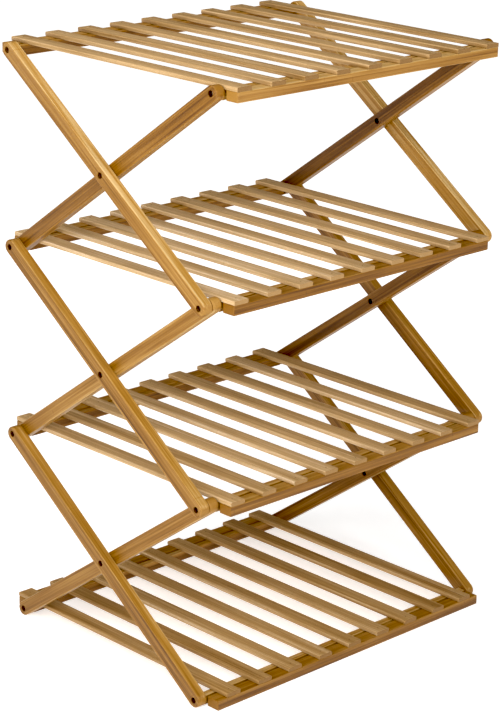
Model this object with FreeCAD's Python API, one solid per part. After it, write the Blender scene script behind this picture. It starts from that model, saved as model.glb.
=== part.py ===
import FreeCAD, Part
import math
import os

# Folding four-shelf slatted rack in bamboo.
#
# Three scissor stages stand on each other on the left and on the right. Every stage has an outer
# leg, which rises from front to rear, and an inner leg, which rises from rear to front. The legs
# cross at a bolt, and the stages meet at pivot lines at the front and at the rear, where four
# slatted shelves sit. Each shelf swings about its rear pivot line and rests on a crossbar at the
# front, with its front rail hooked over that crossbar so that the stages can't spread.
#
# Frame: X is the width, Y is the depth with the front at -Y, Z is up. The origin is at floor
# level in the middle of the footprint. Lengths are in millimetres.

# ---- overall driving dimensions ----
rack_width = 500.0            # over the outer faces of the outer legs
pivot_depth = 343.0           # front pivot line to rear pivot line
level_spacing = 245.0         # one shelf's pivot line to the next
level_count = 4
stage_names = ["lower", "middle", "upper"]
side_names = {"left": -1, "right": 1}

# ---- legs ----
leg_width = 18.5              # also the diameter of the rounded ends
leg_thickness = 13.8
layer_gap = 0.6               # between an outer and an inner leg
leg_edge_round = 1.4

# ---- shelves ----
slat_count = 9
slat_width = 22.0
slat_thickness = 5.3
slat_overhang = 28.0          # past each pivot line
slat_edge_round = 1.1
shelf_width = 441.0           # over the outer edges of the first and last slat
shelf_top_height = 9.2        # slat tops above the pivot line
rail_depth = 19.0
rail_height = 12.5
rail_edge_round = 1.1
bar_depth = 10.0
bar_rest_gap = 0.3            # between a front crossbar and the slats that rest on it
long_rail_end_gap = 0.8       # long rails run between the outer legs
pivot_bar_end_gap = 0.4       # a pivot bar turns between the legs

# ---- pivot screws, crossing bolts and their sleeve nuts ----
counterbore_radius = 3.9
counterbore_depth = 6.5
head_radius = 3.5
head_thickness = 2.3
head_round = 1.1
head_seat_gap = 0.1
shank_radius = 2.4
thread_radius = 1.9
thread_length = 30.0
thread_hole_extra_depth = 2.0
running_clearance = 0.05      # radial, in every turning hole
open_pivot_clearance = 0.3    # radial, where the linkage is left open
bolt_radius = 1.6
sleeve_radius = 2.5
sleeve_flange_thickness = 1.6
sleeve_end_gap = 0.5
drive_slot_width = 0.9
drive_slot_length = 4.2
drive_slot_depth = 1.3

# ---- brads that fix the slats ----
brad_head_radius = 0.85
brad_head_thickness = 0.7
brad_shank_radius = 0.6
brad_length = 13.0
brad_sink = 0.25              # the heads sit this far below the slat's face
brad_clearance = 0.05
brad_offset_from_pivot = 3.3  # so that the pivot screws' threads clear the brads

# ---- modelling allowances ----
cut_past_face = 1.0           # how far a cutting shape runs past the surface it opens
edge_tolerance = 0.01         # for telling a rim's edges from the others
head_overlap = 0.5            # how far a shank reaches into its head before they are joined

# ---- derived places ----
outer_face = rack_width / 2
outer_leg_inside = outer_face - leg_thickness
inner_leg_outside = outer_leg_inside - layer_gap
inner_leg_inside = inner_leg_outside - leg_thickness
front_y = -pivot_depth / 2
rear_y = pivot_depth / 2
first_pivot_z = leg_width / 2
slat_bottom_height = shelf_top_height - slat_thickness
slat_length = pivot_depth + 2 * slat_overhang
slat_pitch = (shelf_width - slat_width) / (slat_count - 1)
head_top = counterbore_depth - head_thickness - head_seat_gap
flange_round = sleeve_flange_thickness * 0.6


def level_z(level):
    """Height of the pivot line of a level; level 0 is the bottom shelf's."""
    return first_pivot_z + level * level_spacing


def cylinder_x(radius, x_from, x_to, y, z):
    """Solid cylinder along X between two X places, in either order."""
    low = min(x_from, x_to)
    return Part.makeCylinder(radius, abs(x_to - x_from), FreeCAD.Vector(low, y, z), FreeCAD.Vector(1, 0, 0))


def rounded_box(x_range, y_range, z_range, radius):
    """Box between three pairs of limits, with every edge rounded."""
    sizes = [pair[1] - pair[0] for pair in (x_range, y_range, z_range)]
    box = Part.makeBox(sizes[0], sizes[1], sizes[2], FreeCAD.Vector(x_range[0], y_range[0], z_range[0]))
    return box.makeFillet(radius, box.Edges)


def leg_blank(low, high, x_from, x_to):
    """Flat bar with round ends centred on two pivots, given as (y, z), and softened edges."""
    radius = leg_width / 2
    start = FreeCAD.Vector(x_from, low[0], low[1])
    end = FreeCAD.Vector(x_from, high[0], high[1])
    along = (end - start).normalize()
    across = FreeCAD.Vector(0, -along.z, along.y)
    corners = [start + across * radius, end + across * radius, end - across * radius, start - across * radius]
    outline = Part.Wire([
        Part.makeLine(corners[0], corners[1]),
        Part.Arc(corners[1], end + along * radius, corners[2]).toShape(),
        Part.makeLine(corners[2], corners[3]),
        Part.Arc(corners[3], start - along * radius, corners[0]).toShape(),
    ])
    bar = Part.Face(outline).extrude(FreeCAD.Vector(x_to - x_from, 0, 0))
    rim = [edge for edge in bar.Edges if edge.BoundBox.XLength < edge_tolerance]
    return bar.makeFillet(leg_edge_round, rim)


def outer_leg(stage, side):
    """Outer leg of a stage: front pivot of its lower level to rear pivot of its upper level."""
    low = (front_y, level_z(stage))
    high = (rear_y, level_z(stage + 1))
    middle = (0.0, (low[1] + high[1]) / 2)
    faces = (side * outer_face, side * outer_leg_inside)
    leg = leg_blank(low, high, faces[0], faces[1])
    bottom_is_open = stage > 0
    clearance = open_pivot_clearance if bottom_is_open else running_clearance
    holes = [(low, shank_radius + clearance), (high, shank_radius + running_clearance)]
    holes.append((middle, sleeve_radius + running_clearance))
    for (y, z), radius in holes:
        leg = leg.cut(cylinder_x(radius, faces[0] + side * cut_past_face, faces[1] - side * cut_past_face, y, z))
        sunk = faces[0] - side * counterbore_depth
        leg = leg.cut(cylinder_x(counterbore_radius, faces[0] + side * cut_past_face, sunk, y, z))
    return leg


def inner_leg(stage, side):
    """Inner leg of a stage: rear pivot of its lower level to front pivot of its upper level."""
    low = (rear_y, level_z(stage))
    high = (front_y, level_z(stage + 1))
    middle = (0.0, (low[1] + high[1]) / 2)
    faces = (side * inner_leg_outside, side * inner_leg_inside)
    leg = leg_blank(low, high, faces[0], faces[1])
    for y, z in (low, high):
        radius = shank_radius + running_clearance
        leg = leg.cut(cylinder_x(radius, faces[0] + side * cut_past_face, faces[1] - side * cut_past_face, y, z))
    past_outside = faces[0] + side * cut_past_face
    past_inside = faces[1] - side * cut_past_face
    leg = leg.cut(cylinder_x(sleeve_radius + running_clearance, past_outside, past_inside, *middle))
    flange_seat = faces[1] + side * counterbore_depth
    leg = leg.cut(cylinder_x(counterbore_radius, past_inside, flange_seat, *middle))
    bare_ends = []
    if stage == 0:
        bare_ends.append(low)
    if stage == level_count - 2:
        bare_ends.append(high)
    for y, z in bare_ends:
        sunk = faces[0] - side * counterbore_depth
        leg = leg.cut(cylinder_x(counterbore_radius, faces[0] + side * cut_past_face, sunk, y, z))
    return leg


def drive_recess(x_head, side, y, z):
    """Cross-shaped driver recess, as the solid to cut from a head whose top is at x_head."""
    inward = x_head - side * drive_slot_depth
    low = min(x_head, inward)
    half_long = drive_slot_length / 2
    half_wide = drive_slot_width / 2
    upright = Part.makeBox(drive_slot_depth, 2 * half_wide, 2 * half_long,
                           FreeCAD.Vector(low, y - half_wide, z - half_long))
    level = Part.makeBox(drive_slot_depth, 2 * half_long, 2 * half_wide,
                         FreeCAD.Vector(low, y - half_long, z - half_wide))
    return upright.fuse(level)


def domed_head(x_top, side, thickness, rounding, y, z):
    """Round screw head with a softened rim and a driver recess."""
    head = cylinder_x(head_radius, x_top, x_top - side * thickness, y, z)
    rim = [edge for edge in head.Edges
           if edge.BoundBox.XLength < edge_tolerance and abs(edge.BoundBox.XMin - x_top) < edge_tolerance]
    head = head.makeFillet(rounding, rim)
    return head.cut(drive_recess(x_top, side, y, z))


def pivot_screw(side, head_face, bar_end, y, z):
    """Shoulder screw from a leg's counterbore, through the legs, into the end of a bar."""
    x_top = side * (head_face - head_top)
    x_seat = x_top - side * head_thickness
    head = domed_head(x_top, side, head_thickness, head_round, y, z)
    shank = cylinder_x(shank_radius, x_seat + side * head_overlap, side * bar_end, y, z)
    thread = cylinder_x(thread_radius, side * bar_end, side * (bar_end - thread_length), y, z)
    return head.fuse([shank, thread]).removeSplitter()


def crossing_bolt(side, y, z):
    """Bolt from the outer leg's counterbore into the sleeve nut."""
    x_top = side * (outer_face - head_top)
    x_seat = x_top - side * head_thickness
    x_end = side * (inner_leg_inside + counterbore_depth)
    head = domed_head(x_top, side, head_thickness, head_round, y, z)
    shank = cylinder_x(bolt_radius, x_seat + side * head_overlap, x_end, y, z)
    return head.fuse(shank).removeSplitter()


def crossing_sleeve_nut(side, y, z):
    """Flanged sleeve nut, in from the inner leg's inside face through both legs."""
    x_seat = side * (inner_leg_inside + counterbore_depth)
    x_flange = x_seat - side * sleeve_flange_thickness
    x_end = side * (outer_face - counterbore_depth - sleeve_end_gap)
    flange = domed_head(x_flange, -side, sleeve_flange_thickness, flange_round, y, z)
    sleeve = cylinder_x(sleeve_radius, x_seat - side * head_overlap, x_end, y, z)
    bore = cylinder_x(bolt_radius + running_clearance, x_seat, x_end + side * cut_past_face, y, z)
    return flange.fuse(sleeve).cut(bore).removeSplitter()


def drilled_bar(half_length, y, z, top_height):
    """Square-edged bar along X on a pivot line, drilled at both ends for its screws."""
    bottom = z + slat_bottom_height - rail_height
    bar = rounded_box((-half_length, half_length), (y - bar_depth / 2, y + bar_depth / 2),
                      (bottom, z + top_height), rail_edge_round)
    reach = thread_length + thread_hole_extra_depth
    for side in side_names.values():
        hole = cylinder_x(thread_radius + running_clearance, side * half_length, side * (half_length - reach), y, z)
        bar = bar.cut(hole)
    return bar


def bar_half_length(level, at_front):
    """Inside distance from the middle to the leg that carries a level's front or rear pivot line."""
    held_by_outer_legs = (level == 0) if at_front else (level == level_count - 1)
    return outer_leg_inside if held_by_outer_legs else inner_leg_inside


def head_face_of(level, at_front):
    """Outer face of the leg that a pivot screw's head sits in."""
    outer_leg_absent = (level == level_count - 1) if at_front else (level == 0)
    return inner_leg_outside if outer_leg_absent else outer_face


def front_crossbar(level):
    """Crossbar that the shelf's slats rest on, fixed between a pair of legs."""
    half_length = bar_half_length(level, True)
    return drilled_bar(half_length, front_y, level_z(level), slat_bottom_height - bar_rest_gap)


def pivot_bar(level):
    """Bar under the slats on the rear pivot line, which the shelf swings on."""
    half_length = bar_half_length(level, False) - pivot_bar_end_gap
    bar = drilled_bar(half_length, rear_y, level_z(level), slat_bottom_height)
    row = rear_y + brad_offset_from_pivot
    return bar.cut(Part.makeCompound([brad_hole(x, row, level) for x in slat_centres()]))


def slat_centres():
    """X places of the slats' centre lines."""
    first = -(shelf_width - slat_width) / 2
    return [first + number * slat_pitch for number in range(slat_count)]


def rail(level, at_front):
    """Rail under the slats' ends; the ones between outer legs are longer."""
    between_outer_legs = bar_half_length(level, at_front) == outer_leg_inside
    half_length = outer_leg_inside - long_rail_end_gap if between_outer_legs else shelf_width / 2
    sign = -1 if at_front else 1
    outside = sign * slat_length / 2
    inside = outside - sign * rail_depth
    top = level_z(level) + slat_bottom_height
    bar = rounded_box((-half_length, half_length), (min(outside, inside), max(outside, inside)),
                      (top - rail_height, top), rail_edge_round)
    middle = (outside + inside) / 2
    return bar.cut(Part.makeCompound([brad_hole(x, middle, level) for x in slat_centres()]))


def brad_rows():
    """Y places of the rows of brads: both rails and the pivot bar."""
    rail_line = slat_length / 2 - rail_depth / 2
    return [-rail_line, rear_y + brad_offset_from_pivot, rail_line]


def brad_hole(x, y, level):
    """Space that one brad takes up in a slat and in the rail or bar below it."""
    top = level_z(level) + shelf_top_height
    reach = brad_sink + brad_length + brad_clearance
    shank = Part.makeCylinder(brad_shank_radius + brad_clearance, reach, FreeCAD.Vector(x, y, top - reach))
    head_reach = brad_sink + brad_head_thickness + brad_clearance
    head = Part.makeCylinder(brad_head_radius + brad_clearance, head_reach + cut_past_face,
                             FreeCAD.Vector(x, y, top - head_reach))
    return shank.fuse(head)


def brad(x, y, level):
    """Brad through a slat into the rail or bar below it."""
    top = level_z(level) + shelf_top_height - brad_sink
    shank = Part.makeCylinder(brad_shank_radius, brad_length, FreeCAD.Vector(x, y, top - brad_length))
    head = Part.makeCylinder(brad_head_radius, brad_head_thickness,
                             FreeCAD.Vector(x, y, top - brad_head_thickness))
    return head.fuse(shank).removeSplitter()


def slats(level):
    """The separate slats of one shelf."""
    top = level_z(level) + shelf_top_height
    pieces = []
    for x in slat_centres():
        slat = rounded_box((x - slat_width / 2, x + slat_width / 2), (-slat_length / 2, slat_length / 2),
                           (top - slat_thickness, top), slat_edge_round)
        holes = Part.makeCompound([brad_hole(x, y, level) for y in brad_rows()])
        pieces.append(slat.cut(holes))
    return Part.makeCompound(pieces)


def brads(level):
    """All the brads of one shelf."""
    return Part.makeCompound([brad(x, y, level) for x in slat_centres() for y in brad_rows()])


def pivot_screws(level, at_front):
    """The left and right pivot screws of a level's front or rear pivot line."""
    end_gap = 0.0 if at_front else pivot_bar_end_gap
    bar_end = bar_half_length(level, at_front) - end_gap
    y = front_y if at_front else rear_y
    face = head_face_of(level, at_front)
    return Part.makeCompound([pivot_screw(side, face, bar_end, y, level_z(level))
                              for side in side_names.values()])


def both_sides(make_piece, stage):
    """A stage's left and right crossing fasteners, as one group."""
    z = (level_z(stage) + level_z(stage + 1)) / 2
    return Part.makeCompound([make_piece(side, 0.0, z) for side in side_names.values()])


def build_nodes():
    """Every node of the rack, by name."""
    nodes = {}
    for stage, stage_name in enumerate(stage_names):
        for side_name, side in side_names.items():
            nodes[f"{stage_name}_outer_leg_{side_name}"] = outer_leg(stage, side)
            nodes[f"{stage_name}_inner_leg_{side_name}"] = inner_leg(stage, side)
        nodes[f"{stage_name}_crossing_bolts"] = both_sides(crossing_bolt, stage)
        nodes[f"{stage_name}_crossing_sleeve_nuts"] = both_sides(crossing_sleeve_nut, stage)
    for level in range(level_count):
        shelf = f"shelf_{level + 1}"
        nodes[f"{shelf}_slats"] = slats(level)
        nodes[f"{shelf}_brads"] = brads(level)
        nodes[f"{shelf}_front_rail"] = rail(level, True)
        nodes[f"{shelf}_rear_rail"] = rail(level, False)
        nodes[f"{shelf}_pivot_bar"] = pivot_bar(level)
        nodes[f"{shelf}_front_crossbar"] = front_crossbar(level)
        nodes[f"{shelf}_front_pivot_screws"] = pivot_screws(level, True)
        nodes[f"{shelf}_rear_pivot_screws"] = pivot_screws(level, False)
    return nodes


os.makedirs("parts", exist_ok=True)
rack = build_nodes()
for node_name, node_shape in rack.items():
    if not node_shape.isValid():
        raise ValueError(f"{node_name} is not a valid shape")
    node_shape.exportStep(f"parts/{node_name}.step")
whole = Part.makeCompound(list(rack.values())).BoundBox
print(f"{len(rack)} nodes, {whole.XLength:.2f} x {whole.YLength:.2f} x {whole.ZLength:.2f} mm")
print(f"legs stand at {math.degrees(math.atan2(level_spacing, pivot_depth)):.3f} degrees")
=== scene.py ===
# %% [markdown]
# # A folding slatted rack in bamboo
# The rack is four slatted shelves between two scissor sides. The exact shapes come from the packed
# model: every leg, rail and screw is loaded as a fixed frame, and this notebook adds what the eye
# sees: the light, the grain of the bamboo, the slats with their own small differences, and the metal.

# %% Load the frame
import bpy
import math
from mathutils import Matrix, Vector


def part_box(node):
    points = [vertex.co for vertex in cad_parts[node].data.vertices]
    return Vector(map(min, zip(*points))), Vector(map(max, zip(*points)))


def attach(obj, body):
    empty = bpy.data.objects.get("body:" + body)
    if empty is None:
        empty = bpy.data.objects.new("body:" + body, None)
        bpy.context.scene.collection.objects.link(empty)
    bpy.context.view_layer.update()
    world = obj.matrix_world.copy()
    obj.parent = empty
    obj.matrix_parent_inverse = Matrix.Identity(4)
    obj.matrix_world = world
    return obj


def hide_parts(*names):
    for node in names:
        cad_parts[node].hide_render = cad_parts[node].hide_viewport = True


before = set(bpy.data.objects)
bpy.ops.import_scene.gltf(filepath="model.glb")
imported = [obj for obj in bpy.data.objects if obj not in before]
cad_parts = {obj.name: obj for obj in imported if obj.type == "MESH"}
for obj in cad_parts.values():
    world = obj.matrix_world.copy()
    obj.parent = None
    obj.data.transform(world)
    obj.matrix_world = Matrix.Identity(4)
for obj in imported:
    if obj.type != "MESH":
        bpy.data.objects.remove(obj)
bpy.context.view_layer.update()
MM = 0.001
PER_METRE = 1000.0
SHELVES = ["shelf_1", "shelf_2", "shelf_3", "shelf_4"]
STAGES = ["lower", "middle", "upper"]
SIDES = ["left", "right"]

# %% [markdown]
# ## The camera
# A long lens some three metres away keeps the legs nearly parallel. The camera stands to the front
# left, looks down by eighteen degrees and is turned about its own axis by a little over a degree, as
# a hand-held one is. It could be aimed with a Track To constraint; a matrix made from the three
# directions is exact and leaves nothing to evaluate.

# %% Camera
VIEW_AZIMUTH = math.radians(-44.235)
VIEW_ELEVATION = math.radians(18.098)
VIEW_ROLL = math.radians(1.131)
VIEW_DISTANCE = 2.947
VIEW_TARGET = Vector((0.0002, 0.0, 0.3460))
LENS = 116.62
SENSOR = 36
FAR_CLIP = 60


def stand_camera(azimuth, elevation, roll, distance, target):
    """Camera on a sphere round the target, turned by roll about its own axis."""
    back = Vector((math.sin(azimuth) * math.cos(elevation),
                   -math.cos(azimuth) * math.cos(elevation),
                   math.sin(elevation)))
    right = Vector((0, 0, 1)).cross(back).normalized()
    up = back.cross(right)
    tilted_right = right * math.cos(roll) + up * math.sin(roll)
    tilted_up = up * math.cos(roll) - right * math.sin(roll)
    data = bpy.data.cameras.new("camera")
    data.lens = LENS
    data.sensor_width = SENSOR
    data.clip_end = FAR_CLIP
    camera = bpy.data.objects.new("camera", data)
    turn = Matrix((tilted_right, tilted_up, back)).transposed().to_4x4()
    camera.matrix_world = Matrix.Translation(target + back * distance) @ turn
    bpy.context.scene.collection.objects.link(camera)
    bpy.context.scene.camera = camera
    return camera


camera = stand_camera(VIEW_AZIMUTH, VIEW_ELEVATION, VIEW_ROLL, VIEW_DISTANCE, VIEW_TARGET)
print("camera at", [round(v, 3) for v in camera.location])

# %% [markdown]
# ## Sums inside a material
# A material's pattern is arithmetic: a streak is a noise that has been stretched, cut off and scaled.
# Written with nodes alone that is hard to read, so one small class wraps a socket and lets Python's
# own + - * / add the Math nodes. Any other node comes from the same method, `add`.

# %% Shader helpers
class Signal:
    """A node's output that can be used in sums."""

    def __init__(self, finish, socket):
        self.finish = finish
        self.socket = socket

    def math(self, operation, first, second=0.0):
        return self.finish.add("ShaderNodeMath", {"operation": operation}, {0: first, 1: second})

    def __add__(self, other):
        return self.math("ADD", self, other)

    def __sub__(self, other):
        return self.math("SUBTRACT", self, other)

    def __rsub__(self, other):
        return self.math("SUBTRACT", other, self)

    def __mul__(self, other):
        return self.math("MULTIPLY", self, other)

    def __truediv__(self, other):
        return self.math("DIVIDE", self, other)

    def __abs__(self):
        return self.math("ABSOLUTE", self)

    def floor(self):
        return self.math("FLOOR", self)

    def fraction(self):
        return self.math("FRACT", self)

    def least(self, other):
        return self.math("MINIMUM", self, other)

    def most(self, other):
        return self.math("MAXIMUM", self, other)

    def root(self):
        return self.math("SQRT", self)

    def rise(self, low, high):
        """0 below low, 1 above high, and a smooth change between them."""
        return self.finish.add("ShaderNodeMapRange", {"interpolation_type": "SMOOTHSTEP"},
                               {0: self, 1: low, 2: high, 3: 0.0, 4: 1.0})

    __radd__ = __add__
    __rmul__ = __mul__


class Finish:
    """A material with its Principled shader, and the one method that adds nodes to it."""

    def __init__(self, name):
        self.material = bpy.data.materials.new(name)
        self.material.use_nodes = True
        self.tree = self.material.node_tree
        self.shader = self.tree.nodes["Principled BSDF"]

    def add(self, kind, settings=None, sockets=None, output=0):
        node = self.tree.nodes.new(kind)
        for key, value in (settings or {}).items():
            if key == "stops":
                self.set_stops(node.color_ramp, value)
            else:
                setattr(node, key, value)
        for key, value in (sockets or {}).items():
            self.feed(node.inputs[key], value)
        return Signal(self, node.outputs[output])

    def set_stops(self, ramp, stops):
        while len(ramp.elements) < len(stops):
            ramp.elements.new(0.5)
        for element, (place, colour) in zip(ramp.elements, stops):
            element.position = place
            element.color = (*colour, 1.0)

    def feed(self, socket, value):
        if isinstance(value, Signal):
            self.tree.links.new(value.socket, socket)
        else:
            socket.default_value = value

    def surface(self, **sockets):
        """Sets or links the shader's own sockets, with _ for a space in their names."""
        for key, value in sockets.items():
            self.feed(self.shader.inputs[key.replace("_", " ")], value)
        return self.material

    def noise(self, coordinates, detail=2.0, roughness=0.5, scale=1.0):
        return self.add("ShaderNodeTexNoise", {}, {"Vector": coordinates, "Scale": scale,
                                                   "Detail": detail, "Roughness": roughness})

    def vector(self, x, y, z):
        return self.add("ShaderNodeCombineXYZ", {}, {0: x, 1: y, 2: z})

    def split(self, vector):
        """The three numbers of a vector."""
        node = self.add("ShaderNodeSeparateXYZ", {}, {0: vector}).socket.node
        return [Signal(self, number) for number in node.outputs]

    def chance(self, number, seed):
        """A random number from 0 to 1 for each whole number."""
        return self.add("ShaderNodeTexWhiteNoise", {"noise_dimensions": "2D"},
                        {"Vector": self.vector(number, seed, 0.0)})


def added(base, marks, shares):
    """The base plus every mark that has a share, times that share."""
    total = base
    for name, share in shares.items():
        total = total + marks[name] * share
    return total


print("helpers ready")

# %% [markdown]
# ## Bamboo
# Bamboo lumber is made from strips of culm wall glued side by side. Four things tell the eye that it
# is not another wood: each strip has its own tone and a thin glue line beside it; the fibres are dead
# straight, with short dark dashes where the vessels are; every strip has nodes, thin dark bands across
# it at its own places; and the end grain is peppered with dots. An image would need unwrapping and
# repeats, so all of it is worked out from the place on the piece: how far along the strip, across it
# and through it a point lies, in millimetres. One brightness is summed up from these and a colour ramp
# turns it into brown, so that the tones always stay in bamboo's own range. There are two ramps: the
# legs and rails are a deep honey, and the slats lean towards a paler straw.

# %% Colour ramps
HONEY = [(0.0, (0.021, 0.006, 0.0003)), (0.30, (0.090, 0.031, 0.0015)), (0.55, (0.210, 0.090, 0.010)),
         (0.80, (0.345, 0.180, 0.040)), (1.0, (0.500, 0.340, 0.150))]
STRAW = [(0.0, (0.050, 0.019, 0.003)), (0.30, (0.170, 0.084, 0.021)), (0.55, (0.330, 0.195, 0.075)),
         (0.80, (0.520, 0.345, 0.170)), (1.0, (0.760, 0.580, 0.380))]


def blend(first, second, share):
    """A ramp between two others, with this share of the second."""
    return [(place, tuple(a + (b - a) * share for a, b in zip(one, two)))
            for (place, one), (_, two) in zip(first, second)]


print("halfway between the ramps, the middle stop is", [round(v, 3) for v in blend(HONEY, STRAW, 0.5)[2][1]])

# %% [markdown]
# ### Strips
# Dividing the place across a board by the strips' width gives a whole number, which counts the strips,
# and a rest, which says how far a point is from a glue line. The strip's number draws two random
# values. They give the strip its tone and slide its pattern, so that neighbours never match.

# %% Strips
SAWN_OFF = 0.37
SECOND_DRAW = 17.0
GLUE_WIDTH = 0.045


def cut_strips(finish, across, half_width, strip_width, number):
    """Two random values for a point's strip, and a mask of the glue lines."""
    counted = (across + half_width) / strip_width + SAWN_OFF
    strip = counted.floor()
    rest = counted.fraction()
    glue_line = 1.0 - rest.least(1.0 - rest).rise(0.0, GLUE_WIDTH)
    return finish.chance(strip, number), finish.chance(strip + SECOND_DRAW, number), glue_line


print("a glue line takes", round(200 * GLUE_WIDTH), "percent of a strip, its soft edges included")

# %% [markdown]
# ### Grain and nodes
# The grain is the same kind of noise at several scales, drawn out along the strip, the fibres and the
# streaks by more than ninety times. Broad bands and a slow drift vary the tone, the streaks follow the
# fibres, and the finest noise, cut off, leaves the dashes. A node crosses each strip every 430 mm, at a
# place of its own, and wanders by up to a millimetre; a faint paler halo lies on both sides of its line.

# %% Grain and nodes
GRAIN = {"bands": (0.006, 0.34, 2.0, 0.50), "streaks": (0.010, 0.95, 3.0, 0.62),
         "fibres": (0.045, 4.20, 2.0, 0.55), "drift": (0.007, 0.10, 1.0, 0.50),
         "scuffs": (0.090, 0.50, 3.0, 0.60)}
DASHES = (0.57, 0.70)
NODE_GAP = 430.0
NODE_WANDER = 2.5
WANDER_ALONG = 0.02
WANDER_ACROSS = 0.35
WANDER_PLANE = 3.0
NODE_LINE = (0.35, 1.30)
NODE_HALO = (1.0, 9.0)


def grain(finish, kind, along, across, through):
    """One of the grain's noises, drawn out along the strip."""
    long_scale, cross_scale, detail, roughness = GRAIN[kind]
    point = finish.vector(along * long_scale, across * cross_scale, through * cross_scale)
    return finish.noise(point, detail, roughness)


def culm_nodes(finish, along, shifted, sideways):
    """Masks of the dark line at every node and of the halo round it."""
    path = finish.vector(along * WANDER_ALONG, sideways * WANDER_ACROSS, WANDER_PLANE)
    wander = finish.noise(path, 1.0, 0.5)
    middle = abs((shifted / NODE_GAP).fraction() - 0.5) * NODE_GAP
    from_node = abs(middle + (wander - 0.5) * NODE_WANDER)
    return 1.0 - from_node.rise(*NODE_LINE), 1.0 - from_node.rise(*NODE_HALO)


print("noises:", ", ".join(GRAIN))

# %% [markdown]
# ### Edges, ends and holes
# The ends and the drilled holes show other things. The sanded ends of the legs and rails are paler than
# their sides, partly as end grain and partly as a painted highlight, the thin ends of the slats are
# stained darker, and the wall of a counterbore is raw, rougher wood that carries painted shade, with a
# little painted shade round its rim. Lacquer is thin on the edges, where handling also rubs it, so these
# are duller, and they are paler from that wear and from a painted highlight as well.
# Which way a face looks comes from the surface normal, turned with the piece, so that an end that is
# rounded still changes smoothly into a side.

# %% Edges, ends and holes
EDGE_WIDTH = (0.5, 1.5)
# The edge mark is partly wear and partly a painted highlight: it dulls the edges and paints them paler.
EDGE_WEAR_AND_HIGHLIGHT = 0.35
EDGE_SCUFFS_AND_HIGHLIGHT = 0.9
SQUARE_ON = (0.6, 0.95)
END_ON = (0.45, 0.90)
PORE_SCALE = 1.25
PORE_RADIUS = (0.12, 0.42)
HOLE_WALL = (3.95, 4.15)
HOLE_RIM = (3.9, 5.2)
BELOW_FACE = (0.10, 0.45)
AT_FACE = (0.1, 0.4)
# Painted shade darkens the walls of the counterbores; RIM_SHADE paints a little shade round their rims.
HOLE_PAINTED_SHADE = 0.50
RIM_SHADE = 0.05
RAW_WOOD = 0.35


def turned_like(finish, place, direction):
    """The same turn for a direction as place's own Mapping node gives to a position."""
    source = place.socket.node
    turn = source.inputs["Rotation"].default_value[:] if source.type == "MAPPING" else (0, 0, 0)
    return finish.add("ShaderNodeMapping", {"vector_type": "VECTOR"},
                      {"Vector": direction, "Rotation": turn})


def end_pores(finish, across, through):
    """The dots of the vessels in the end grain."""
    vessels = finish.add("ShaderNodeTexVoronoi", {"feature": "F1"},
                         {"Vector": finish.vector(0.0, across * PORE_SCALE, through * PORE_SCALE),
                          "Scale": 1.0})
    return 1.0 - vessels.rise(*PORE_RADIUS)


def drilled(along, across, to_face, spacing, light, rough):
    """Painted shade on the walls of the counterbores at both ends and at the middle of a leg, which are also
    rougher as raw wood, with a little painted shade round their rims.
    """
    from_middle = abs(along)
    from_hole = from_middle.least(abs(from_middle - spacing / 2))
    reach = (from_hole * from_hole + across * across).root()
    inside = (1.0 - reach.rise(*HOLE_WALL)) * to_face.rise(*BELOW_FACE)
    rim = (1.0 - reach.rise(*HOLE_RIM)) * (1.0 - to_face.rise(*AT_FACE))
    return light - inside * HOLE_PAINTED_SHADE - rim * RIM_SHADE, rough + inside * RAW_WOOD


print("counterbore walls darken within", HOLE_WALL[1], "mm of a pivot")

# %% [markdown]
# ### The whole finish
# Three sums put the marks together: how light the wood is, how rough, and how high. Their shares are
# kept in tables, since they are what one changes while looking. The height feeds a Bump node: fibres
# and nodes stand up a little, and dashes, glue lines and pores sink in.

# %% Bamboo finish
LIGHT_SHARES = {"bands": 0.62, "streaks": 0.46, "lot": 0.15, "drift": 0.34, "dashes": -0.085,
                "node line": -0.075, "node halo": 0.025, "glue line": -0.060}
END_SHARES = {"pores": -0.14, "streaks": 0.15}
ROUGH_SHARES = {"fibres": 0.20, "edge": 0.14, "end grain": 0.16}
HEIGHT_SHARES = {"fibres": 0.35, "dashes": -0.25, "glue line": -0.9, "node line": 0.8, "end pores": -1.0}
ROUGHNESS = 0.40
SLIDE_ALONG = 900.0
SLIDE_ACROSS = 80.0
BOARD_STEP = 61.0
BOARD_SHARE = 0.09


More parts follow.
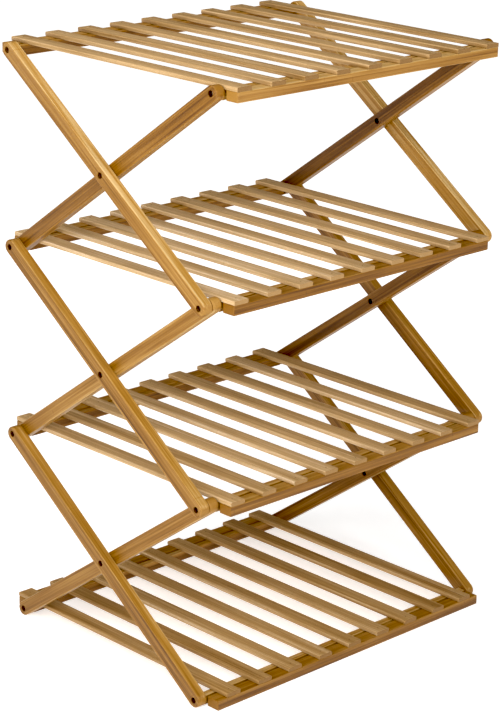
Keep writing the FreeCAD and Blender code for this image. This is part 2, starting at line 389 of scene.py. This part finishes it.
def bamboo(place, half, order, tone, strip_width, seed, hole_spacing=None, board=None, ramp=HONEY,
           end_grain_and_highlight=0.12, top_highlight=0.0, side_highlight=0.0, edge_wear_and_highlight=0.17):
    """Bamboo finish. place gives millimetres on the piece, order says which of its three numbers run
    along, across and through the strips, and half has the piece's half sizes across and through. The
    last four arguments shift the paleness: of the end grain, which on legs and rails is partly a painted
    highlight; of the upper face and of the narrow sides, as painted highlights; and of the edges, as wear
    and a painted highlight together."""
    finish = place.finish
    numbers = finish.split(place)
    along, across, through = [numbers[i] for i in order]
    number = seed if board is None else board * BOARD_STEP + seed
    lot, lot_two, glue_line = cut_strips(finish, across, half[0], strip_width, number)
    shifted = along + lot * SLIDE_ALONG
    sideways = across + lot_two * SLIDE_ACROSS
    noises = {kind: grain(finish, kind, shifted, sideways, through)
              for kind in ("bands", "streaks", "fibres", "drift")}
    marks = {kind: noise - 0.5 for kind, noise in noises.items()}
    marks["dashes"] = noises["fibres"].rise(*DASHES)
    marks["lot"] = lot - 0.5
    marks["node line"], marks["node halo"] = culm_nodes(finish, along, shifted, sideways)
    marks["glue line"] = glue_line

    to_face = half[1] - abs(through)
    to_side = half[0] - abs(across)
    scuffs = grain(finish, "scuffs", along, across, through)
    rubbed_and_highlit = EDGE_WEAR_AND_HIGHLIGHT + EDGE_SCUFFS_AND_HIGHLIGHT * scuffs
    marks["edge"] = (1.0 - to_side.most(to_face).rise(*EDGE_WIDTH)) * rubbed_and_highlit
    facing = finish.add("ShaderNodeTexCoord", {}, {}, 1)
    turned = finish.split(turned_like(finish, place, facing))
    end_on, side_on = [turned[i] for i in order[:2]]
    marks["end grain"] = abs(end_on).rise(*END_ON)
    marks["pores"] = end_pores(finish, across, through)
    marks["end pores"] = marks["pores"] * marks["end grain"]

    # The edges are paler from wear and from a painted highlight.
    light = added(tone, marks, LIGHT_SHARES) + marks["edge"] * edge_wear_and_highlight
    if board is not None:
        light = light + (board - 0.5) * BOARD_SHARE
    # A painted highlight makes the narrow sides paler, by the way they face.
    if side_highlight:
        light = light + abs(side_on).rise(*SQUARE_ON) * side_highlight
    # A painted highlight makes faces that look up paler.
    if top_highlight:
        light = light + finish.split(facing)[2].rise(*SQUARE_ON) * top_highlight
    # The end grain has its own tone; on legs and rails its paleness is partly a painted highlight.
    end_light = added(tone + end_grain_and_highlight, marks, END_SHARES)
    light = light + (end_light - light) * marks["end grain"]
    rough = added(ROUGHNESS, marks, ROUGH_SHARES)
    if hole_spacing is not None:
        light, rough = drilled(along, across, to_face, hole_spacing, light, rough)

    bump = finish.add("ShaderNodeBump", {}, {"Strength": 0.30, "Distance": 0.00025,
                                             "Height": added(0.0, marks, HEIGHT_SHARES)})
    colour = finish.add("ShaderNodeValToRGB", {"stops": ramp}, {0: light})
    return finish.surface(Base_Color=colour, Roughness=rough, Normal=bump, Coat_Weight=0.05,
                          Coat_Roughness=0.28, Specular_IOR_Level=0.28)


def place_on(finish, centre, turn_x=0.0):
    """Millimetres from a piece's centre, turned about X so that a leg's own length runs along Y."""
    turn = Matrix.Rotation(turn_x, 3, "X")
    shift = -(turn @ (Vector(centre) * PER_METRE))
    coordinates = finish.add("ShaderNodeTexCoord", {}, {}, 3)
    return finish.add("ShaderNodeMapping", {"vector_type": "POINT"},
                      {"Vector": coordinates, "Location": shift[:], "Rotation": (turn_x, 0, 0),
                       "Scale": (PER_METRE, PER_METRE, PER_METRE)})


def dress(node, material):
    """Puts a finish on a CAD node."""
    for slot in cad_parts[node].material_slots:
        slot.material = material
    print(node, "<-", material.name)


print("marks in the tone:", len(LIGHT_SHARES), "in the height:", len(HEIGHT_SHARES))

# %% [markdown]
# ## Legs
# Every leg is one bar cut along the grain, with its ends turned round the pivots. The finish needs to
# know how the bar leans, so each leg's lean is read from its own box: a leg that is as deep and as
# high as its box, less the round ends, leans at the angle between the two. The outer legs rise to the
# rear and the inner legs rise to the front. Each leg has its own seed and its own tone; the tone is
# partly the colour of the leg's own board and partly painted light and shade, which makes the far
# inner legs darker.

# %% Finish the legs
LEG_WIDTH = 18.5
LEG_STRIP = 5.6
LEG_SEED_STEP = 7.3
# The painted highlight on the legs' narrow sides.
LEG_SIDE_HIGHLIGHT = 0.16
# Each leg's tone is partly its board's colour and partly painted light and shade.
LEG_TONES_AND_PAINTED_LIGHT = {"lower_outer_left": 0.62, "lower_outer_right": 0.59, "lower_inner_left": 0.59,
             "lower_inner_right": 0.55, "middle_outer_left": 0.59, "middle_outer_right": 0.58,
             "middle_inner_left": 0.69, "middle_inner_right": 0.44, "upper_outer_left": 0.63,
             "upper_outer_right": 0.70, "upper_inner_left": 0.49, "upper_inner_right": 0.39}


def leg_lie(node, rises_to_rear):
    """A leg's centre, its lean from the horizontal, the distance between its end pivots, and how
    thick it is."""
    low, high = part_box(node)
    depth = (high.y - low.y) / MM - LEG_WIDTH
    rise = (high.z - low.z) / MM - LEG_WIDTH
    lean = math.atan2(rise, depth if rises_to_rear else -depth)
    return (low + high) / 2, lean, math.hypot(depth, rise), (high.x - low.x) / MM


def finish_legs():
    seed = 0
    for stage in STAGES:
        for kind in ("outer", "inner"):
            for side in SIDES:
                node = f"{stage}_{kind}_leg_{side}"
                centre, lean, pivots, thick = leg_lie(node, kind == "outer")
                seed += 1
                finish = Finish(f"bamboo {node.replace('_', ' ')}")
                tone = LEG_TONES_AND_PAINTED_LIGHT[f"{stage}_{kind}_{side}"]
                dress(node, bamboo(place_on(finish, centre, -lean), (LEG_WIDTH / 2, thick / 2),
                                   (1, 2, 0), tone, LEG_STRIP, seed * LEG_SEED_STEP, pivots,
                                   side_highlight=LEG_SIDE_HIGHLIGHT))
    print("legs finished:", seed)


finish_legs()

# %% [markdown]
# ## Rails and bars
# The rails run across under the ends of the slats, and the bars carry the pivots. They are plain
# sticks with the grain along X, cut from the same lumber and a shade darker on average. A painted
# highlight makes their upper faces paler, and the top shelf's front rail and the front crossbars get
# paler tones as painted light.

# %% Finish the rails and bars
STICK_STRIP = 4.6
# The sticks' paler end grain is partly a painted highlight.
STICK_END_GRAIN_AND_HIGHLIGHT = 0.10
# The painted highlight on the upper faces of the rails and bars.
STICK_TOP_HIGHLIGHT = 0.20
# The top front rail and the front crossbars get paler tones as painted light.
STICKS = {"front_rail": ([0.50, 0.47, 0.45, 0.62], 101.3, 5.7), "rear_rail": ([0.53] * 4, 131.9, 4.1),
          "pivot_bar": ([0.50] * 4, 151.7, 3.3), "front_crossbar": ([0.60] * 4, 171.1, 6.1)}


def finish_stick(node, tone, seed):
    low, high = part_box(node)
    half = (high - low) / 2 / MM
    finish = Finish(f"bamboo {node.replace('_', ' ')}")
    dress(node, bamboo(place_on(finish, (low + high) / 2), (half.z, half.y), (0, 2, 1), tone,
                       STICK_STRIP, seed, end_grain_and_highlight=STICK_END_GRAIN_AND_HIGHLIGHT, top_highlight=STICK_TOP_HIGHLIGHT))


for level, shelf in enumerate(SHELVES):
    for kind, (tones, first_seed, seed_step) in STICKS.items():
        finish_stick(f"{shelf}_{kind}", tones[level], first_seed + level * seed_step)

# %% [markdown]
# ## Slats
# The slats repeat, so Geometry Nodes lay them: one softened bar is swept from a rounded rectangle and
# placed along a row of points. A modelled slat could simply be copied, but here every slat also gets
# its own number, a slightly different set and its own place on the strip it was cut from. The local
# place on each slat is stored as an attribute before it is copied, so that the finish follows the slat.

# %% Node tree helper
class Weave:
    """A Geometry Nodes tree with named inputs."""

    def __init__(self, name, inputs):
        self.tree = bpy.data.node_groups.new(name, "GeometryNodeTree")
        self.tree.interface.new_socket("Geometry", in_out="INPUT", socket_type="NodeSocketGeometry")
        self.tree.interface.new_socket("Geometry", in_out="OUTPUT", socket_type="NodeSocketGeometry")
        for label, kind in inputs.items():
            self.tree.interface.new_socket(label, in_out="INPUT", socket_type=kind)
        self.entry = self.tree.nodes.new("NodeGroupInput")
        self.exit = self.tree.nodes.new("NodeGroupOutput")
        print(name, "takes", ", ".join(inputs))

    def given(self, label):
        return self.entry.outputs[label]

    def add(self, kind, settings=None, sockets=None, output=0):
        node = self.tree.nodes.new(kind)
        for key, value in (settings or {}).items():
            setattr(node, key, value)
        for key, value in (sockets or {}).items():
            if isinstance(value, bpy.types.NodeSocket):
                self.tree.links.new(value, node.inputs[key])
            else:
                node.inputs[key].default_value = value
        return node.outputs[output]

    def finish_with(self, geometry, material):
        real = self.add("GeometryNodeRealizeInstances", {}, {0: geometry})
        painted = self.add("GeometryNodeSetMaterial", {}, {"Geometry": real, "Material": material})
        self.tree.links.new(painted, self.exit.inputs[0])

    def run(self, name, values):
        """Evaluates the tree with these inputs and returns the result as a plain mesh object."""
        carrier = bpy.data.objects.new(name, bpy.data.meshes.new(name))
        bpy.context.scene.collection.objects.link(carrier)
        modifier = carrier.modifiers.new("weave", "NODES")
        modifier.node_group = self.tree
        for item in self.tree.interface.items_tree:
            if item.in_out == "INPUT" and item.name in values:
                modifier[item.identifier] = values[item.name]
        graph = bpy.context.evaluated_depsgraph_get()
        mesh = bpy.data.meshes.new_from_object(carrier.evaluated_get(graph))
        carrier.modifiers.remove(modifier)
        carrier.data = mesh
        mesh.name = name
        return carrier


print("node tree helper ready")

# %% Slat tree
SLAT_RINGS = 33
CORNER_POINTS = 4
SET_OFF = (0.0006, 0.0004, 0.00003)
SKEW = (0, 0, 0.0012)


def spread(weave, most):
    """A random vector for each point, up to most either way."""
    least = tuple(-v for v in most)
    return weave.add("FunctionNodeRandomValue", {"data_type": "FLOAT_VECTOR"},
                     {0: least, 1: most, "Seed": weave.given("Seed")})


def slat_bar(weave):
    """One slat round the origin, lengthwise along Y, with its own place stored on it."""
    half = weave.add("ShaderNodeMath", {"operation": "MULTIPLY"}, {0: weave.given("Length"), 1: 0.5})
    minus = weave.add("ShaderNodeMath", {"operation": "MULTIPLY"}, {0: half, 1: -1.0})
    front = weave.add("ShaderNodeCombineXYZ", {}, {1: minus})
    rear = weave.add("ShaderNodeCombineXYZ", {}, {1: half})
    spine = weave.add("GeometryNodeCurvePrimitiveLine", {}, {"Start": front, "End": rear})
    spine = weave.add("GeometryNodeResampleCurve", {}, {0: spine, "Count": SLAT_RINGS})
    spine = weave.add("GeometryNodeSetCurveNormal", {"mode": "Z_UP"}, {0: spine})
    outline = weave.add("GeometryNodeCurvePrimitiveQuadrilateral", {},
                        {"Width": weave.given("Width"), "Height": weave.given("Thickness")})
    outline = weave.add("GeometryNodeFilletCurve", {"mode": "POLY"},
                        {0: outline, "Count": CORNER_POINTS, "Radius": weave.given("Rounding")})
    slat = weave.add("GeometryNodeCurveToMesh", {}, {"Curve": spine, "Profile Curve": outline,
                                                     "Fill Caps": True})
    here = weave.add("GeometryNodeInputPosition")
    return weave.add("GeometryNodeStoreNamedAttribute", {"data_type": "FLOAT_VECTOR", "domain": "POINT"},
                     {0: slat, "Name": "lie", "Value": here})


def slat_tree():
    weave = Weave("slats in a row", {"Count": "NodeSocketInt", "Pitch": "NodeSocketFloat",
                                     "Material": "NodeSocketMaterial",
                                     "Length": "NodeSocketFloat", "Width": "NodeSocketFloat",
                                     "Thickness": "NodeSocketFloat", "Rounding": "NodeSocketFloat",
                                     "Start": "NodeSocketVector", "Seed": "NodeSocketInt"})
    slat = slat_bar(weave)
    step = weave.add("ShaderNodeCombineXYZ", {}, {0: weave.given("Pitch")})
    row = weave.add("GeometryNodeMeshLine", {"mode": "OFFSET"},
                    {"Count": weave.given("Count"), "Start Location": weave.given("Start"), "Offset": step})
    row = weave.add("GeometryNodeSetPosition", {}, {0: row, "Offset": spread(weave, SET_OFF)})
    laid = weave.add("GeometryNodeInstanceOnPoints", {},
                     {"Points": row, "Instance": slat, "Rotation": spread(weave, SKEW)})
    own = weave.add("FunctionNodeRandomValue", {"data_type": "FLOAT"},
                    {2: 0.0, 3: 1.0, "Seed": weave.given("Seed")}, 1)
    laid = weave.add("GeometryNodeStoreNamedAttribute", {"data_type": "FLOAT", "domain": "INSTANCE"},
                     {0: laid, "Name": "board", "Value": own})
    weave.finish_with(laid, weave.given("Material"))
    return weave


print("a slat has", SLAT_RINGS, "rings and is set off by up to", round(SET_OFF[0] / MM, 1), "mm")

# %% [markdown]
# ### The slats' finish
# The finish reads the two attributes: the place on the slat, and the slat's own number, which gives it
# strips of its own and shifts its tone a little. Each shelf has its own share of straw, as if from
# another lot, and its own tone; the differences in tone are painted light, which makes the slats of the
# three lower shelves paler than those of the top shelf.

# %% Slat finish
SLAT_COUNT = 9
SLAT_WIDTH = 22.0
SLAT_STRIP = 7.4
SLAT_SEED = 3.0
SLAT_END_SHIFT = -0.24
# The slats' edges get less of the wear and painted highlight.
SLAT_EDGE_WEAR_AND_HIGHLIGHT = 0.08
slat_low, slat_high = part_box("shelf_1_slats")
SLAT_HALF = (SLAT_WIDTH / 2, (slat_high.z - slat_low.z) / 2 / MM)
print("half a slat, across and through:", [round(v, 2) for v in SLAT_HALF])


def slat_finish(shelf, tone, straw):
    """Finish of one shelf's slats; straw is how far they are from honey to straw in colour."""
    finish = Finish(f"bamboo {shelf} slats")
    local = finish.add("ShaderNodeAttribute", {"attribute_name": "lie"}, {}, 1)
    scaled = finish.add("ShaderNodeVectorMath", {"operation": "SCALE"}, {0: local, "Scale": PER_METRE})
    board = finish.add("ShaderNodeAttribute", {"attribute_name": "board"}, {}, 2)
    return bamboo(scaled, SLAT_HALF, (1, 0, 2), tone, SLAT_STRIP, SLAT_SEED, board=board,
                  ramp=blend(HONEY, STRAW, straw), end_grain_and_highlight=SLAT_END_SHIFT, edge_wear_and_highlight=SLAT_EDGE_WEAR_AND_HIGHLIGHT)


# %% Lay the slats
# The differences in slat tone between shelves are painted light; the second number is the share of straw.
SLAT_TONES_WITH_PAINTED_LIGHT = [(0.72, 0.55), (0.74, 0.88), (0.77, 1.0), (0.59, 1.0)]
SLAT_ROUNDING = 1.1
FIRST_ROW_SEED = 11


def lay_slats():
    weave = slat_tree()
    for level, shelf in enumerate(SHELVES):
        low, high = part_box(f"{shelf}_slats")
        pitch = (high.x - low.x - SLAT_WIDTH * MM) / (SLAT_COUNT - 1)
        start = (low.x + SLAT_WIDTH * MM / 2, 0.0, (low.z + high.z) / 2)
        slats = weave.run(f"{shelf}_laid_slats", {
            "Count": SLAT_COUNT, "Pitch": pitch, "Length": high.y - low.y, "Width": SLAT_WIDTH * MM,
            "Material": slat_finish(shelf, *SLAT_TONES_WITH_PAINTED_LIGHT[level]), "Thickness": high.z - low.z,
            "Rounding": SLAT_ROUNDING * MM, "Start": start, "Seed": FIRST_ROW_SEED + level})
        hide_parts(f"{shelf}_slats")
        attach(slats, shelf)
        print(shelf, "slats:", len(slats.data.polygons), "faces, laid", round(pitch / MM, 2), "mm apart")


lay_slats()

# %% [markdown]
# ## Screws and bolts
# The pivots are zinc-plated steel, sunk in their counterbores. Plating is never quite even: two noises
# give it dull patches a few millimetres wide and much finer marks, which a Bump node also raises a
# little. The patches change the roughness too.

# %% Metal finish
CLOUD_SCALE = 0.35
MARK_SCALE = 3.2
CLOUD_SHARE = 0.9
MARK_SHARE = 0.4
EVEN_SHADE = 0.55
DARK_PLATING = 0.35


def plated(name, colour, dull):
    finish = Finish(name)
    place = place_on(finish, (0, 0, 0))
    clouds = finish.noise(place, 4.0, 0.6, CLOUD_SCALE)
    marks = finish.noise(place, 2.0, 0.5, MARK_SCALE)
    shade = (clouds - 0.5) * CLOUD_SHARE + (marks - 0.5) * MARK_SHARE + EVEN_SHADE
    darker = tuple(c * DARK_PLATING for c in colour)
    paint = finish.add("ShaderNodeValToRGB", {"stops": [(0.1, darker), (0.9, colour)]}, {0: shade})
    bump = finish.add("ShaderNodeBump", {}, {"Strength": 0.25, "Distance": 0.0001, "Height": marks})
    return finish.surface(Base_Color=paint, Metallic=1.0, Roughness=dull + (clouds - 0.5) * 0.25,
                          Normal=bump)


zinc = plated("zinc plated steel", (0.70, 0.62, 0.52), 0.32)
for stage in STAGES:
    dress(f"{stage}_crossing_bolts", zinc)
    dress(f"{stage}_crossing_sleeve_nuts", zinc)
for shelf in SHELVES:
    dress(f"{shelf}_front_pivot_screws", zinc)
    dress(f"{shelf}_rear_pivot_screws", zinc)

# %% [markdown]
# ## Brads
# Each slat is held by a brad over each rail and one over the pivot bar. They are driven nearly flush
# and almost the colour of the wood, so only a dull dot is left. A small round head is copied to every
# place of a grid by Geometry Nodes; each row's place is given, since the middle row isn't central.

# %% Brads
BRAD_RADIUS = 0.85
BRAD_SIDES = 16
BRAD_FROM_PIVOT = 3.3
BRAD_PROUD = 0.06


def brad_tree(material):
    weave = Weave("brads in rows", {"Count": "NodeSocketInt", "Pitch": "NodeSocketFloat",
                                    "Start": "NodeSocketVector", "Middle": "NodeSocketFloat",
                                    "Rear": "NodeSocketFloat", "Radius": "NodeSocketFloat",
                                    "Height": "NodeSocketFloat"})
    head = weave.add("GeometryNodeMeshCylinder", {"fill_type": "NGON"},
                     {"Vertices": BRAD_SIDES, "Radius": weave.given("Radius"),
                      "Depth": weave.given("Height")})
    step = weave.add("ShaderNodeCombineXYZ", {}, {0: weave.given("Pitch")})
    row = weave.add("GeometryNodeMeshLine", {"mode": "OFFSET"},
                    {"Count": weave.given("Count"), "Start Location": weave.given("Start"), "Offset": step})
    rows = weave.add("GeometryNodeJoinGeometry", {}, {0: row})
    for label in ("Middle", "Rear"):
        shift = weave.add("ShaderNodeCombineXYZ", {}, {1: weave.given(label)})
        moved = weave.add("GeometryNodeTransform", {}, {"Geometry": row, "Translation": shift})
        weave.tree.links.new(moved, rows.node.inputs[0])
    laid = weave.add("GeometryNodeInstanceOnPoints", {}, {"Points": rows, "Instance": head})
    weave.finish_with(laid, material)
    return weave


def lay_brads():
    weave = brad_tree(plated("dull brads", (0.30, 0.19, 0.09), 0.5))
    radius = BRAD_RADIUS * MM
    for shelf in SHELVES:
        low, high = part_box(f"{shelf}_brads")
        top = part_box(f"{shelf}_slats")[1].z + BRAD_PROUD * MM
        height = top - high.z + radius
        bar_low, bar_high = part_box(f"{shelf}_pivot_bar")
        middle = (bar_low.y + bar_high.y) / 2 + BRAD_FROM_PIVOT * MM
        start = (low.x + radius, low.y + radius, top - height / 2)
        brads = weave.run(f"{shelf}_laid_brads", {
            "Count": SLAT_COUNT, "Pitch": (high.x - low.x - 2 * radius) / (SLAT_COUNT - 1),
            "Start": start, "Middle": middle - start[1], "Rear": high.y - radius - start[1],
            "Radius": radius, "Height": height})
        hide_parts(f"{shelf}_brads")
        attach(brads, shelf)
        print(shelf, "brads:", len(brads.data.polygons), "faces")


lay_brads()

# %% [markdown]
# ## Floor
# The rack stands on a plain pale floor, the lit table of a small studio: it glows by itself, and more
# so further off, so that it stays white all round. A wide plane with an emission that grows with the
# distance from the middle does this without a backdrop.

# %% Floor
FLOOR_SIZE = 60
FLOOR_TONE = (0.80, 0.80, 0.80, 1)
GLOW_NEAR = 0.58
GLOW_FAR = 1.0
GLOW_RISE = (0.6, 1.8)


def lay_floor():
    bpy.ops.mesh.primitive_plane_add(size=FLOOR_SIZE, location=(0, 0, 0))
    floor = bpy.context.object
    floor.name = "floor"
    finish = Finish("pale floor")
    place = finish.add("ShaderNodeTexCoord", {}, {}, 3)
    away = finish.add("ShaderNodeVectorMath", {"operation": "LENGTH"}, {0: place}, 1)
    glow = finish.add("ShaderNodeValToRGB", {"stops": [(0.0, (GLOW_NEAR,) * 3), (1.0, (GLOW_FAR,) * 3)]},
                      {0: away.rise(*GLOW_RISE)})
    floor.data.materials.append(finish.surface(Base_Color=FLOOR_TONE, Roughness=0.9,
                                               Emission_Color=glow, Emission_Strength=1.0))
    print("floor laid,", FLOOR_SIZE, "m wide")


lay_floor()

# %% [markdown]
# ## Light
# Four soft boxes give the shape: a near one at the left, whose light falls off quickly towards the
# right, one at the corner, one in front and one overhead. A weak one behind, at the rear left, keeps the
# back from going dark. A single sun would light the near and the far legs alike. The black level of the
# view is set a little above zero, which deepens the shadows inside the rack.

# %% Light
SKY = (1, 1, 1, 1)
SKY_STRENGTH = 0.10
BLACK_LEVEL = 0.025
SOFTBOXES = {  # each has its place, what it is aimed at, its two sizes in metres and its watts
    "left box": ((-1.15, -0.35, 0.75), (-0.1, 0, 0.45), (0.6, 0.9), 8.5),
    "corner box": ((-1.1, -1.2, 1.2), (0, 0, 0.45), (1.0, 1.0), 16),
    "front box": ((0.3, -1.4, 1.0), (0, 0, 0.45), (1.0, 1.0), 12),
    "rear box": ((-0.5, 1.6, 0.6), (0, 0, 0.4), (1.0, 1.0), 6),
    "top box": ((-0.3, 0.1, 1.9), (0, 0, 0.45), (0.8, 0.8), 15.5)}


def softbox(name, place, aim, size, power):
    data = bpy.data.lights.new(name, "AREA")
    data.shape = "RECTANGLE"
    data.size, data.size_y = size
    data.energy = power
    lamp = bpy.data.objects.new(name, data)
    lamp.location = place
    lamp.rotation_euler = (Vector(place) - Vector(aim)).to_track_quat("Z", "Y").to_euler()
    bpy.context.scene.collection.objects.link(lamp)
    print(name, "gives", power, "W")


world = bpy.data.worlds.new("studio")
bpy.context.scene.world = world
world.use_nodes = True
world.node_tree.nodes["Background"].inputs["Color"].default_value = SKY
world.node_tree.nodes["Background"].inputs["Strength"].default_value = SKY_STRENGTH
for name, (place, aim, size, power) in SOFTBOXES.items():
    softbox(name, place, aim, size, power)
view = bpy.context.scene.view_settings
view.view_transform = "Standard"
view.use_curve_mapping = True
view.curve_mapping.black_level = (BLACK_LEVEL,) * 3
